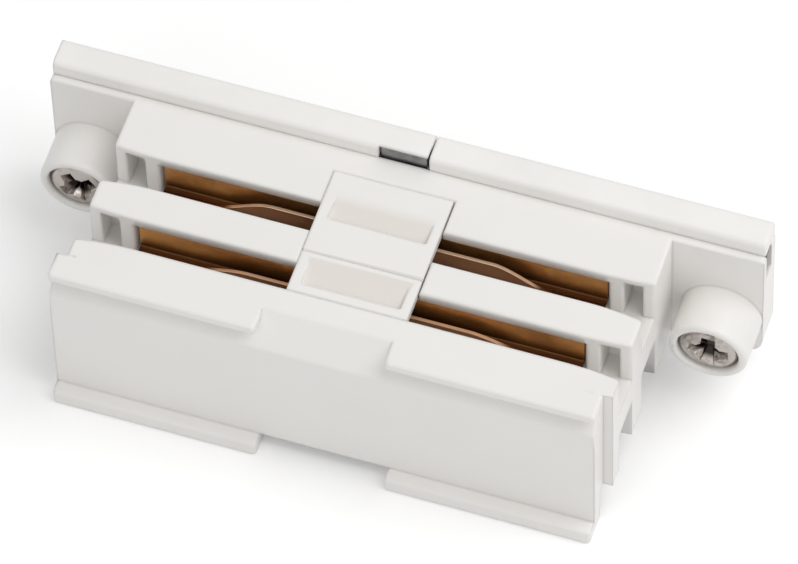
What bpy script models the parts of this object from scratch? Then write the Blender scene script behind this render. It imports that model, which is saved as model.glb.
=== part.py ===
# Straight connector for a lighting track: a white comb moulding that holds two copper contact strips,
# a steel earth strip along its back edge under two covers, and a clamping screw near each end.
# X runs along the track, Y from the nose to the back plate, Z up.

from math import cos, pi, radians, sin

import bmesh
import bpy
from mathutils import Matrix, Vector

MM = 0.001

# Clearances
SEAM = 0.15 * MM            # between mouldings that meet at a visible seam
SEAT = 0.2 * MM             # between a metal piece and the moulding that holds it
PASS = 1.0 * MM             # how far a cutter runs out past the material

# Comb, front to back along Y, starting at the nose's front face
NOSE_DEPTH = 5.27 * MM
FRONT_SLOT = 3.33 * MM
RIB_DEPTH = 3.9 * MM
REAR_SLOT = 3.45 * MM
BLOCK_DEPTH = 5.7 * MM
COMB_LENGTH = 54.3 * MM
COMB_HEIGHT = 15.2 * MM
COMB_SHIFT = -0.3 * MM      # how far the comb sits off the plate's middle
SLOT_DEPTH = 5.75 * MM
LEAD_IN_LENGTH = 5.5 * MM
LEAD_IN_FRONT = 0.7 * MM   # how far the wall in front of a slot curves away at its end
LEAD_IN_REAR = 0.4 * MM     # the same for the wall behind the slot

# Nose: sloped top, tall front wall and split lips
NOSE_FLAT = 2.5 * MM
NOSE_SLOPE_DROP = 3.3 * MM
NOSE_WALL = 1.8 * MM
NOSE_WALL_LENGTH = 54.5 * MM
NOSE_WALL_REACH = 18.0 * MM
LIP_GAP = 13.0 * MM         # bare middle between the left and right lips
LIP_THICKNESS = 1.1 * MM
LIP_SHIFT = -1.35 * MM      # how far the front wall and the lips sit off the plate's middle
LIP_STEP = 2.0 * MM         # stretch at a lip's outer end that stops square at the crease
LIP_JOIN = 1.0 * MM         # how far a lip runs back into the nose's flat top
LOWER_LIP_REACH = 1.5 * MM
LOWER_LIP_THICKNESS = 1.75 * MM
LIP_RADIUS = 0.35 * MM
WALL_TOP_RADIUS = 0.7 * MM
END_JOIN = 1.0 * MM         # overlap of the comb's two staggered ends with its middle

# Contact seats in the front faces of the rib and the block
SEAT_TOP = 1.15 * MM         # height of plastic left above a seat
SEAT_LENGTH = 45.2 * MM
SEAT_DEPTH = 1.2 * MM
PILLAR = 1.5 * MM           # rounded pillar between the contact seat and the end pocket
POCKET_LENGTH = 1.85 * MM
POCKET_DEPTH = 1.5 * MM
PILLAR_RADIUS = 0.35 * MM

# Contact strips: a folded copper channel with a tall rear leaf and a low front leaf
COPPER = 0.35 * MM
CONTACT_END_GAP = 0.3 * MM   # between a contact's end and the end of its seat
CONTACT_DEPTH = 1.5 * MM
CONTACT_FOLD_RADIUS = 0.5 * MM
REAR_LEAF_TOP = 1.6 * MM   # depth of the rear leaf's top edge under the comb's top
FRONT_LEAF_TOP = 2.7 * MM
FRONT_LEAF_INSET = 5.3 * MM  # from the contact's end to the end of its front leaf
FRONT_LEAF_CURVE = 6.0 * MM
LEAF_FALL_POWER = 2.5       # how sharply the front leaf falls away toward its end
FOLD_STUB = 0.1 * MM        # height of the fold that stays beyond the front leaf

# Back plate with the slot that holds the earth strip
PLATE_LENGTH = 72.0 * MM
PLATE_THICKNESS = 3.55 * MM
PLATE_HEIGHT = 15.4 * MM
PLATE_CORNER = 2.0 * MM
PLATE_TOP_CORNER = 0.4 * MM
PLATE_FRONT_WALL = 0.8 * MM

# Earth strip: flat steel with a lug for each screw and a tab that shows in the rail's window
STEEL = 1.2 * MM
EARTH_INSET = 0.05 * MM     # from the plate's end to the strip's end
EARTH_TOP = 0.1 * MM        # depth of its top edge under the ledge
EARTH_HEIGHT = 3.2 * MM
EARTH_CORNER = 0.5 * MM
LUG_LENGTH = 5.8 * MM
LUG_BELOW = 3.55 * MM       # from the screw's axis to the lug's lower edge
TAB_HEIGHT = 1.35 * MM

# Rail covers along the top of the plate
LEDGE = 0.85 * MM
RAIL_DEPTH = 3.1 * MM
RAIL_HEIGHT = 1.8 * MM
RAIL_INSET = 0.1 * MM       # from the plate's end to the covers' ends
RAIL_FRONT_RADIUS = 0.45 * MM
RAIL_BACK_RADIUS = 0.7 * MM
SEAM_AT = 2.2 * MM          # where the two covers meet
WINDOW_LENGTH = 5.0 * MM
WINDOW_SKIN = 0.25 * MM

# Screw bosses
BOSS_INSET = 4.05 * MM      # from the plate's end to the screw's axis
BOSS_DROP = 9.85 * MM
BOSS_LENGTH = 5.1 * MM
BOSS_BASE_RADIUS = 4.0 * MM
BOSS_RIM_RADIUS = 3.95 * MM
BOSS_RIM_ROUND = 0.45 * MM
BORE_RADIUS = 3.1 * MM
BORE_DEPTH = 2.4 * MM

# Screws
HEAD_RADIUS = 2.9 * MM
HEAD_HEIGHT = 2.1 * MM
HEAD_CROWN = 0.9 * MM
SHANK_RADIUS = 1.75 * MM
SHANK_CLEARANCE = 0.2 * MM
TIP_LENGTH = 0.6 * MM
TIP_SHORT = 0.15 * MM       # how far the tip stays inside the plate's back face
CROSS_WIDTH = 0.75 * MM     # width of an arm where it leaves the hollow
CROSS_FLARE = 1.2 * MM      # width of an arm at its outer end
CROSS_SPAN = 3.6 * MM
CROSS_DEPTH = 1.3 * MM
CROSS_CENTRE = 0.85 * MM    # radius of the hollow in the middle of the cross
CROSS_TURN = {"left": -38.0, "right": 1.0}

# Bridge clips across the slots in the middle
BRIDGE_LENGTH = 11.9 * MM
BRIDGE_PLATE = 1.1 * MM
BRIDGE_REACH = 3.65 * MM     # how far the rear clip runs back over the block
BRIDGE_SPLIT = 2.4 * MM     # distance from the rib's back face to the joint of the two clips
BRIDGE_PLUG = 5.0 * MM
PLUG_INSET = 1.5 * MM       # from the clip's end to the plug's end
PLUG_JOIN = 0.2 * MM        # how far the plug runs up into the clip's plate
FRONT_RAMP_INSET = 0.95 * MM
RAMP_LENGTH = 9.9 * MM
RAMP_DROP = 0.8 * MM
REAR_RAMP_SPAN = 2.55 * MM
FRONT_RAMP_SPAN = 2.9 * MM

ARC_STEPS = 4
ROUND_STEPS = 48
WELD = 0.001 * MM

# Places along Y and Z that follow from the sizes
FRONT_SLOT_START = NOSE_DEPTH
RIB_START = FRONT_SLOT_START + FRONT_SLOT
REAR_SLOT_START = RIB_START + RIB_DEPTH
BLOCK_START = REAR_SLOT_START + REAR_SLOT
PLATE_START = BLOCK_START + BLOCK_DEPTH
PLATE_BACK = PLATE_START + PLATE_THICKNESS
RAIL_START = PLATE_START + LEDGE
RAIL_BACK = RAIL_START + RAIL_DEPTH
STRIP_SLOT_START = PLATE_START + PLATE_FRONT_WALL
STRIP_SLOT_BACK = STRIP_SLOT_START + STEEL + 2 * SEAT
BOSS_FRONT = PLATE_START - BOSS_LENGTH
BOSS_AXIS = PLATE_LENGTH / 2 - BOSS_INSET
CONTACT_HALF = SEAT_LENGTH / 2 - CONTACT_END_GAP
HEAD_SEAT = BOSS_FRONT + BORE_DEPTH
BRIDGE_BACK = BLOCK_START + BRIDGE_REACH
BRIDGE_JOINT = REAR_SLOT_START - BRIDGE_SPLIT
LOWEST = -NOSE_WALL_REACH - LOWER_LIP_THICKNESS
CREASE = NOSE_DEPTH - NOSE_FLAT
COMB_LEFT = COMB_SHIFT - COMB_LENGTH / 2
COMB_RIGHT = COMB_SHIFT + COMB_LENGTH / 2
FRONT_LEFT = LIP_SHIFT - NOSE_WALL_LENGTH / 2
FRONT_RIGHT = LIP_SHIFT + NOSE_WALL_LENGTH / 2
ON_COMB = (COMB_SHIFT, 0, 0)


def clear_scene():
    for item in list(bpy.data.objects):
        bpy.data.objects.remove(item, do_unlink=True)


def new_collection(name):
    group = bpy.data.collections.new(name)
    bpy.context.scene.collection.children.link(group)
    return group


def new_material(name, colour, roughness, metallic):
    material = bpy.data.materials.new(name)
    material.use_nodes = True
    shader = material.node_tree.nodes["Principled BSDF"]
    shader.inputs["Base Color"].default_value = (*colour, 1.0)
    shader.inputs["Roughness"].default_value = roughness
    shader.inputs["Metallic"].default_value = metallic
    return material


clear_scene()
PARTS = new_collection("track_straight_connector")
CUTTERS = new_collection("cutters")

# The part's origin lies under its middle, on the surface that it rests on.
FRAME = bpy.data.objects.new("connector_frame", None)
FRAME.location = (0.0, -(RAIL_BACK - LOWER_LIP_REACH) / 2, -LOWEST)
PARTS.objects.link(FRAME)

WHITE = new_material("white_plastic", (0.86, 0.85, 0.83), 0.4, 0.0)
COVER_WHITE = new_material("cover_plastic", (0.87, 0.86, 0.83), 0.38, 0.0)
COPPER_ALLOY = new_material("copper_alloy", (0.62, 0.33, 0.14), 0.28, 1.0)
STRIP_STEEL = new_material("strip_steel", (0.5, 0.5, 0.49), 0.35, 1.0)
SCREW_NICKEL = new_material("screw_nickel", (0.72, 0.69, 0.65), 0.25, 1.0)


def place(item, group, location=(0, 0, 0), rotation=(0, 0, 0)):
    group.objects.link(item)
    item.parent = FRAME
    item.location = location
    item.rotation_euler = rotation
    if group is CUTTERS:
        item.hide_render = True
        item.display_type = "WIRE"
    return item


def arc(centre, radius, start, end, steps=ARC_STEPS):
    """Points on a circle from one angle to another, in degrees."""
    points = []
    for step in range(steps + 1):
        angle = radians(start + (end - start) * step / steps)
        points.append((centre[0] + radius * cos(angle), centre[1] + radius * sin(angle)))
    return points


def rounded(corners, steps=ARC_STEPS):
    """Outline through corners (x, y, radius), each rounded by its radius."""
    points = []
    count = len(corners)
    for index, (x, y, radius) in enumerate(corners):
        corner = Vector((x, y))
        if radius == 0:
            points.append((x, y))
            continue
        before = (Vector(corners[index - 1][:2]) - corner).normalized()
        after = (Vector(corners[(index + 1) % count][:2]) - corner).normalized()
        half = before.angle(after) / 2
        middle = (before + after).normalized()
        setback = radius * cos(half) / sin(half)
        centre = corner + middle * (radius / sin(half))
        first = corner + before * setback - centre
        last = corner + after * setback - centre
        sweep = first.angle_signed(last)
        for step in range(steps + 1):
            turned = first.copy()
            turned.rotate(Matrix.Rotation(-sweep * step / steps, 2))
            points.append(tuple(centre + turned))
    return points


def flat_solid(name, outline, depth, matrix):
    """Flat outline thickened to a solid and moved by the matrix, welded, with one face for each cap."""
    curve = bpy.data.curves.new(name, "CURVE")
    curve.dimensions = "2D"
    curve.fill_mode = "BOTH"
    curve.extrude = depth / 2
    spline = curve.splines.new("POLY")
    spline.points.add(len(outline) - 1)
    for point, (x, y) in zip(spline.points, outline):
        point.co = (x, y, 0, 1)
    spline.use_cyclic_u = True
    flat = bpy.data.objects.new(name, curve)
    bpy.context.scene.collection.objects.link(flat)
    bpy.context.view_layer.update()
    evaluated = flat.evaluated_get(bpy.context.evaluated_depsgraph_get())
    mesh = bpy.data.meshes.new_from_object(evaluated)
    bpy.data.objects.remove(flat, do_unlink=True)
    shape = bmesh.new()
    shape.from_mesh(mesh)
    bmesh.ops.remove_doubles(shape, verts=shape.verts, dist=WELD)
    caps = [face for face in shape.faces if len({vert.co.z > 0 for vert in face.verts}) == 1]
    bmesh.ops.delete(shape, geom=caps, context="FACES")
    bmesh.ops.holes_fill(shape, edges=shape.edges)
    bmesh.ops.transform(shape, matrix=matrix, verts=shape.verts)
    bmesh.ops.recalc_face_normals(shape, faces=shape.faces)
    shape.to_mesh(mesh)
    shape.free()
    mesh.materials.clear()
    return bpy.data.objects.new(name, mesh)


def plan_solid(name, outline, low, high):
    """X-Y outline, thick along Z."""
    return flat_solid(name, outline, high - low, Matrix.Translation((0, 0, (low + high) / 2)))


def section_solid(name, outline, left, right):
    """Y-Z outline, running along X."""
    turn = Matrix(((0, 0, 1, (left + right) / 2), (1, 0, 0, 0), (0, 1, 0, 0), (0, 0, 0, 1)))
    return flat_solid(name, outline, right - left, turn)


def front_solid(name, outline, front, back):
    """X-Z outline, thick along Y."""
    turn = Matrix(((1, 0, 0, 0), (0, 0, -1, (front + back) / 2), (0, 1, 0, 0), (0, 0, 0, 1)))
    return flat_solid(name, outline, back - front, turn)


def box_outline(left, right, low, high, radius=0.0):
    corners = ((left, low), (right, low), (right, high), (left, high))
    return rounded([(x, y, radius) for x, y in corners])


def turned_solid(name, profile, steps=ROUND_STEPS):
    """Solid of revolution about local Z; the profile runs from its top centre to its bottom centre."""
    mesh = bpy.data.meshes.new(name)
    points = [(radius, 0, height) for radius, height in profile]
    edges = [(index, index + 1) for index in range(len(points) - 1)]
    mesh.from_pydata(points, edges, [])
    solid = bpy.data.objects.new(name, mesh)
    screw = solid.modifiers.new("turn", "SCREW")
    screw.axis = "Z"
    screw.steps = steps
    screw.render_steps = steps
    screw.use_merge_vertices = True
    screw.merge_threshold = WELD
    screw.use_smooth_shade = True
    return solid


def combine(target, tool, operation):
    step = target.modifiers.new(tool.name, "BOOLEAN")
    step.operation = operation
    step.solver = "EXACT"
    step.object = tool


def cut(target, tool, **placing):
    place(tool, CUTTERS, **placing)
    combine(target, tool, "DIFFERENCE")


def add(target, tool, **placing):
    place(tool, CUTTERS, **placing)
    combine(target, tool, "UNION")


def finish(item, material):
    item.data.materials.append(material)
    return item


def sides():
    return (("left", -1), ("right", 1))


def comb_body():
    """Nose, rib, block and web as one section along X, before the slots are cut."""
    outline = rounded([
        (0, -NOSE_SLOPE_DROP, WALL_TOP_RADIUS),
        (0, -NOSE_WALL_REACH, 0),
        (NOSE_WALL, -NOSE_WALL_REACH, 0),
        (NOSE_WALL, -COMB_HEIGHT, 0),
        (PLATE_START + PASS, -COMB_HEIGHT, 0),
        (PLATE_START + PASS, 0, 0),
        (CREASE, 0, LIP_RADIUS),
    ])
    return section_solid("housing", outline, COMB_LEFT, FRONT_RIGHT)


def front_end():
    """Left end of the nose's front, which stands out past the comb."""
    outline = rounded([
        (0, -NOSE_SLOPE_DROP, WALL_TOP_RADIUS),
        (0, -NOSE_WALL_REACH, 0),
        (NOSE_WALL, -NOSE_WALL_REACH, 0),
        (NOSE_WALL, -COMB_HEIGHT, 0),
        (CREASE, -COMB_HEIGHT, 0),
        (CREASE, 0, 0),
    ])
    return section_solid("front_end", outline, FRONT_LEFT, COMB_LEFT + END_JOIN)


def comb_end():
    """Right end of the comb, which stands out past the nose's front."""
    outline = box_outline(FRONT_RIGHT - END_JOIN, COMB_RIGHT, CREASE, PLATE_START + PASS)
    return plan_solid("comb_end", outline, -COMB_HEIGHT, 0)


def upper_lip(side, sign):
    """Lip that carries the nose's flat top out over the slope, flush with the front wall."""
    inner = LIP_SHIFT + sign * LIP_GAP / 2
    outer = LIP_SHIFT + sign * NOSE_WALL_LENGTH / 2
    step = outer - sign * LIP_STEP
    back = CREASE + LIP_JOIN
    corners = [
        (inner, 0, LIP_RADIUS),
        (outer, 0, LIP_RADIUS),
        (outer, CREASE, 0),
        (step, CREASE, 0),
        (step, back, 0),
        (inner, back, 0),
    ]
    return plan_solid("upper_lip_" + side, rounded(corners), -LIP_THICKNESS, 0)


def lower_lip(side, sign):
    inner = LIP_SHIFT + sign * LIP_GAP / 2
    outer = LIP_SHIFT + sign * NOSE_WALL_LENGTH / 2
    corners = [
        (inner, -LOWER_LIP_REACH, LIP_RADIUS),
        (outer, -LOWER_LIP_REACH, LIP_RADIUS),
        (outer, NOSE_WALL, 0),
        (inner, NOSE_WALL, 0),
    ]
    return plan_solid("lower_lip_" + side, rounded(corners), LOWEST, -NOSE_WALL_REACH)


def lead_in(sign, start, shift):
    """Curved wall end: the last stretch of a slot's wall bows away by shift."""
    end = COMB_LENGTH / 2 + PASS
    points = []
    steps = 2 * ARC_STEPS
    for step in range(steps + 1):
        along = step / steps
        x = end - LEAD_IN_LENGTH - PASS + (LEAD_IN_LENGTH + PASS) * along
        points.append((sign * x, start + shift * along ** 2))
    return points


def slot_cutter(name, start, width, low, high):
    """Slot between two walls of the comb, flared at both ends."""
    front = lead_in(-1, start, -LEAD_IN_FRONT)[::-1] + lead_in(1, start, -LEAD_IN_FRONT)
    back = lead_in(1, start + width, LEAD_IN_REAR)[::-1] + lead_in(-1, start + width, LEAD_IN_REAR)
    return plan_solid(name, front + back, low, high)


def flared_pocket(left, right, face, depth):
    """Pocket outline that starts at a wall's face and has rounded outer edges."""
    radius = PILLAR_RADIUS
    outline = [(left - radius, face - PASS), (right + radius, face - PASS)]
    outline += arc((right + radius, face + radius), radius, 270, 180)
    outline += [(right, face + depth), (left, face + depth)]
    outline += arc((left - radius, face + radius), radius, 0, -90)
    return outline


def cut_contact_seat(housing, name, face):
    """Seat for a contact strip and the two pockets beyond its ends."""
    half = SEAT_LENGTH / 2
    seats = [("seat", -half, half, SEAT_DEPTH)]
    for side, sign in sides():
        near = sign * (half + PILLAR)
        far = sign * (half + PILLAR + POCKET_LENGTH)
        seats.append(("pocket_" + side, min(near, far), max(near, far), POCKET_DEPTH))
    for label, left, right, depth in seats:
        outline = flared_pocket(left, right, face, depth)
        pocket = plan_solid(name + "_" + label, outline, -SLOT_DEPTH, -SEAT_TOP)
        cut(housing, pocket, location=ON_COMB)


def back_plate():
    half = PLATE_LENGTH / 2
    corners = [
        (-half, -PLATE_HEIGHT, PLATE_CORNER),
        (half, -PLATE_HEIGHT, PLATE_CORNER),
        (half, 0, PLATE_TOP_CORNER),
        (-half, 0, PLATE_TOP_CORNER),
    ]
    return front_solid("back_plate", rounded(corners), PLATE_START, PLATE_BACK)


def strip_outline(grow, top):
    """The earth strip seen from the front; grow widens it to the slot that holds it."""
    half = PLATE_LENGTH / 2 - EARTH_INSET + (PASS if grow else 0)
    low = -EARTH_TOP - EARTH_HEIGHT - grow
    lug_inner = BOSS_AXIS - LUG_LENGTH / 2 - grow
    lug_outer = BOSS_AXIS + LUG_LENGTH / 2 + grow
    lug_low = -BOSS_DROP - LUG_BELOW - grow
    end_radius = 0 if grow else EARTH_CORNER
    right = [
        (lug_inner, low, 0),
        (lug_inner, lug_low, EARTH_CORNER),
        (lug_outer, lug_low, EARTH_CORNER),
        (lug_outer, low, 0),
        (half, low, end_radius),
        (half, top, 0),
    ]
    left = [(-x, y, radius) for x, y, radius in reversed(right)]
    return right, left


def strip_slot():
    right, left = strip_outline(SEAT, PASS)
    return front_solid("strip_slot", rounded(right + left), STRIP_SLOT_START, STRIP_SLOT_BACK)


def boss(side):
    """Boss turned about its axis, with a rounded rim; local Z points out of its mouth."""
    root = PLATE_FRONT_WALL / 2
    profile = [(0, BOSS_LENGTH)]
    profile += arc((BOSS_RIM_RADIUS - BOSS_RIM_ROUND, BOSS_LENGTH - BOSS_RIM_ROUND), BOSS_RIM_ROUND, 90, 0)
    profile += [(BOSS_BASE_RADIUS, 0), (BOSS_BASE_RADIUS, -root), (0, -root)]
    return turned_solid("boss_" + side, profile)


def boss_bore(side):
    """Head bore and the smaller hole for the shank, cut right through the plate."""
    seat = BOSS_LENGTH - BORE_DEPTH
    hole = SHANK_RADIUS + SHANK_CLEARANCE
    through = -PLATE_THICKNESS - PASS
    profile = [
        (0, BOSS_LENGTH + PASS),
        (BORE_RADIUS, BOSS_LENGTH + PASS),
        (BORE_RADIUS, seat),
        (hole, seat),
        (hole, through),
        (0, through),
    ]
    return turned_solid("bore_" + side, profile)


def screw_placing(sign, y, turn=0.0):
    """Place on a screw's axis, with local Z out of the boss's mouth."""
    return {"location": (sign * BOSS_AXIS, y, -BOSS_DROP), "rotation": (pi / 2, turn, 0)}


def bridge_seat(name, front, back):
    half = BRIDGE_LENGTH / 2 + SEAM
    outline = box_outline(-half, half, front, back)
    return plan_solid(name, outline, -BRIDGE_PLATE - SEAM, PASS)


def build_housing():
    housing = comb_body()
    place(housing, PARTS)
    add(housing, front_end())
    add(housing, comb_end())
    add(housing, back_plate())
    for side, sign in sides():
        add(housing, upper_lip(side, sign))
        add(housing, lower_lip(side, sign))
        add(housing, boss(side), **screw_placing(sign, PLATE_START))
    web_low = SLOT_DEPTH - COMB_HEIGHT
    for name, start, width in (("front_slot", FRONT_SLOT_START, FRONT_SLOT),
                               ("rear_slot", REAR_SLOT_START, REAR_SLOT)):
        slot = slot_cutter(name, start, width, -SLOT_DEPTH, PASS)
        below = slot_cutter(name + "_below", start, width, -COMB_HEIGHT - PASS, web_low)
        cut(housing, slot, location=ON_COMB)
        cut(housing, below, location=ON_COMB)
    cut_contact_seat(housing, "rib", RIB_START)
    cut_contact_seat(housing, "block", BLOCK_START)
    cut(housing, bridge_seat("bridge_seat_front", RIB_START, BRIDGE_JOINT), location=ON_COMB)
    cut(housing, bridge_seat("bridge_seat_rear", BRIDGE_JOINT, BRIDGE_BACK + SEAM), location=ON_COMB)
    cut(housing, strip_slot())
    for side, sign in sides():
        cut(housing, boss_bore(side), **screw_placing(sign, PLATE_START, pi / ROUND_STEPS))
    return finish(housing, WHITE)


def rail_section():
    return rounded([
        (RAIL_START, SEAM, 0),
        (RAIL_BACK, SEAM, 0),
        (RAIL_BACK, RAIL_HEIGHT, RAIL_BACK_RADIUS),
        (RAIL_START, RAIL_HEIGHT, RAIL_FRONT_RADIUS),
    ])


def build_rail(side, left, right):
    rail = section_solid("rail_" + side, rail_section(), left, right)
    place(rail, PARTS)
    return finish(rail, COVER_WHITE)


def rail_window():
    left = SEAM_AT - WINDOW_LENGTH
    back = STRIP_SLOT_BACK
    outline = box_outline(left, SEAM_AT + PASS, RAIL_START - PASS, back)
    return plan_solid("rail_window", outline, -PASS, RAIL_HEIGHT - WINDOW_SKIN)


def build_rails():
    half = PLATE_LENGTH / 2 - RAIL_INSET
    left_rail = build_rail("left", -half, SEAM_AT - SEAM / 2)
    build_rail("right", SEAM_AT + SEAM / 2, half)
    cut(left_rail, rail_window())


def build_earth_strip():
    right, left = strip_outline(0, -EARTH_TOP)
    tab_left = SEAM_AT - WINDOW_LENGTH + SEAT
    tab_right = SEAM_AT - SEAT
    tab = [
        (tab_right, -EARTH_TOP, 0),
        (tab_right, TAB_HEIGHT, 0),
        (tab_left, TAB_HEIGHT, 0),
        (tab_left, -EARTH_TOP, 0),
    ]
    front = STRIP_SLOT_START + SEAT
    strip = front_solid("earth_strip", rounded(right + tab + left), front, front + STEEL)
    place(strip, PARTS)
    for side, sign in sides():
        thread = turned_solid("thread_" + side, [
            (0, PASS),
            (SHANK_RADIUS + SHANK_CLEARANCE, PASS),
            (SHANK_RADIUS + SHANK_CLEARANCE, -STEEL - PASS),
            (0, -STEEL - PASS),
        ])
        cut(strip, thread, **screw_placing(sign, front))
    return finish(strip, STRIP_STEEL)


def contact_section(face):
    """Channel of folded sheet: rear leaf against the seat, fold on the slot's floor, low front leaf."""
    back = face + SEAT_DEPTH - SEAT
    front = back - CONTACT_DEPTH
    low = -SLOT_DEPTH + SEAT
    outer = CONTACT_FOLD_RADIUS
    inner = CONTACT_FOLD_RADIUS - COPPER
    return rounded([
        (back, -REAR_LEAF_TOP, 0),
        (back - COPPER, -REAR_LEAF_TOP, 0),
        (back - COPPER, low + COPPER, inner),
        (front + COPPER, low + COPPER, inner),
        (front + COPPER, -FRONT_LEAF_TOP, 0),
        (front, -FRONT_LEAF_TOP, 0),
        (front, low, outer),
        (back, low, outer),
    ])


def leaf_trim(name, sign, face):
    """Trims the end of the front leaf to a curve that falls to the fold."""
    start = CONTACT_HALF - FRONT_LEAF_INSET - FRONT_LEAF_CURVE
    end = CONTACT_HALF + PASS
    low = -SLOT_DEPTH + SEAT + COPPER + FOLD_STUB
    fall = low + FRONT_LEAF_TOP
    points = []
    steps = 3 * ARC_STEPS
    for step in range(steps + 1):
        along = step / steps
        height = -FRONT_LEAF_TOP + fall * along ** LEAF_FALL_POWER
        points.append((sign * (start + FRONT_LEAF_CURVE * along), height))
    points += [(sign * end, low), (sign * end, PASS), (sign * start, PASS)]
    back = face + SEAT_DEPTH - SEAT - COPPER - (CONTACT_DEPTH - 2 * COPPER) / 2
    return front_solid(name, points, face - CONTACT_DEPTH - PASS, back)


def build_contact(name, face):
    contact = section_solid(name, contact_section(face), -CONTACT_HALF, CONTACT_HALF)
    place(contact, PARTS, location=ON_COMB)
    for side, sign in sides():
        cut(contact, leaf_trim(name + "_trim_" + side, sign, face), location=ON_COMB)
    return finish(contact, COPPER_ALLOY)


def build_bridge(name, front, back, slot_start, slot_width, ramp_front, ramp_span):
    """Clip across a slot: a plate with a ramp, and a plug down the slot in front of the contact."""
    half = BRIDGE_LENGTH / 2
    clip = plan_solid(name, box_outline(-half, half, front, back), -BRIDGE_PLATE, 0)
    place(clip, PARTS, location=ON_COMB)
    plug_front = slot_start + SEAM
    plug_back = slot_start + slot_width + SEAT_DEPTH - SEAT - CONTACT_DEPTH - SEAT
    plug = box_outline(PLUG_INSET - half, half - PLUG_INSET, plug_front, plug_back)
    add(clip, plan_solid(name + "_plug", plug, -BRIDGE_PLUG, PLUG_JOIN - BRIDGE_PLATE), location=ON_COMB)
    ramp = [
        (ramp_front, PASS),
        (ramp_front, -RAMP_DROP),
        (ramp_front + ramp_span, 0),
        (ramp_front + ramp_span, PASS),
    ]
    cut(clip, section_solid(name + "_ramp", ramp, -RAMP_LENGTH / 2, RAMP_LENGTH / 2), location=ON_COMB)
    return finish(clip, WHITE)


def build_bridges():
    front_ramp = FRONT_SLOT_START + FRONT_RAMP_INSET + SEAM
    rear_ramp = REAR_SLOT_START + REAR_SLOT / 2
    build_bridge("bridge_front", FRONT_SLOT_START + SEAM, BRIDGE_JOINT - SEAM / 2,
                 FRONT_SLOT_START, FRONT_SLOT, front_ramp, FRONT_RAMP_SPAN)
    build_bridge("bridge_rear", BRIDGE_JOINT + SEAM / 2, BRIDGE_BACK,
                 REAR_SLOT_START, REAR_SLOT, rear_ramp, REAR_RAMP_SPAN)


def screw_blank(side):
    """Pan head screw; local Z runs out of its head and the origin is under the head."""
    tip = -(PLATE_BACK - TIP_SHORT - HEAD_SEAT + SEAT)
    profile = [(0, HEAD_HEIGHT)]
    profile += arc((HEAD_RADIUS - HEAD_CROWN, HEAD_HEIGHT - HEAD_CROWN), HEAD_CROWN, 90, 0, 2 * ARC_STEPS)
    profile += [
        (HEAD_RADIUS, 0),
        (SHANK_RADIUS, 0),
        (SHANK_RADIUS, tip + TIP_LENGTH),
        (SHANK_RADIUS - TIP_LENGTH, tip),
        (0, tip),
    ]
    return turned_solid("screw_" + side, profile)


def cross_recess(side):
    """Plus-shaped socket with a round hollow in its middle."""
    arm = CROSS_SPAN / 2
    half = CROSS_WIDTH / 2
    flare = CROSS_FLARE / 2
    quarter = [(arm, -flare), (arm, flare), (half, half)]
    outline = []
    for turn in range(4):
        spin = Matrix.Rotation(turn * pi / 2, 2)
        outline += [tuple(spin @ Vector(point)) for point in quarter]
    depth = CROSS_DEPTH + PASS
    lift = Matrix.Translation((0, 0, HEAD_HEIGHT - CROSS_DEPTH + depth / 2))
    return flat_solid("cross_" + side, outline, depth, lift)


def cross_hollow(side):
    """Cone at the cross's centre, wide at the head's face."""
    profile = [
        (0, HEAD_HEIGHT + PASS),
        (CROSS_CENTRE, HEAD_HEIGHT + PASS),
        (CROSS_CENTRE, HEAD_HEIGHT - CROSS_DEPTH / 2),
        (0, HEAD_HEIGHT - CROSS_DEPTH - CROSS_CENTRE / 2),
    ]
    return turned_solid("hollow_" + side, profile, ROUND_STEPS // 2)


def build_screws():
    for side, sign in sides():
        placing = screw_placing(sign, HEAD_SEAT - SEAT, radians(CROSS_TURN[side]))
        screw = screw_blank(side)
        place(screw, PARTS, **placing)
        cut(screw, cross_recess(side), **placing)
        cut(screw, cross_hollow(side), **placing)
        finish(screw, SCREW_NICKEL)


build_housing()
build_rails()
build_earth_strip()
build_contact("front_contact", RIB_START)
build_contact("rear_contact", BLOCK_START)
build_bridges()
build_screws()
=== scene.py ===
import math

import bmesh
import bpy
from mathutils import Matrix, Vector


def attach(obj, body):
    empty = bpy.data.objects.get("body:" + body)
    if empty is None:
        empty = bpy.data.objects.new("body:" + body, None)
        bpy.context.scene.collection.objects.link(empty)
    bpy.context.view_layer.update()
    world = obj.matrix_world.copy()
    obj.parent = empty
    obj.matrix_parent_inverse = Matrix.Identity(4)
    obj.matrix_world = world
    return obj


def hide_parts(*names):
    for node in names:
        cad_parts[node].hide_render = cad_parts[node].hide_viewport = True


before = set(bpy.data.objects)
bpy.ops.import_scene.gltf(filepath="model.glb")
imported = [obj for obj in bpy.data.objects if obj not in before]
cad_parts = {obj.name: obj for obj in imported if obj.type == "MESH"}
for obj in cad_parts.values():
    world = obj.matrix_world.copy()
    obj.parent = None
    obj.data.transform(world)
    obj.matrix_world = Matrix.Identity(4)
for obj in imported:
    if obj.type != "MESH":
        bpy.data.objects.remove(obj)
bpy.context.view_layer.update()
mm = 0.001


# Node trees: a wire stands for one socket, so that node maths reads as plain expressions

class Wire:
    def __init__(self, graph, socket):
        self.graph = graph
        self.socket = socket

    def maths(self, operation, first, second):
        return self.graph.add("ShaderNodeMath", {"operation": operation}, {0: first, 1: second})

    def __add__(self, other):
        return self.maths("ADD", self, other)

    def __radd__(self, other):
        return self.maths("ADD", other, self)

    def __sub__(self, other):
        return self.maths("SUBTRACT", self, other)

    def __rsub__(self, other):
        return self.maths("SUBTRACT", other, self)

    def __mul__(self, other):
        return self.maths("MULTIPLY", self, other)

    def __rmul__(self, other):
        return self.maths("MULTIPLY", other, self)

    def __lt__(self, other):
        return self.maths("LESS_THAN", self, other)

    def __abs__(self):
        return self.maths("ABSOLUTE", self, 0.0)


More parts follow.
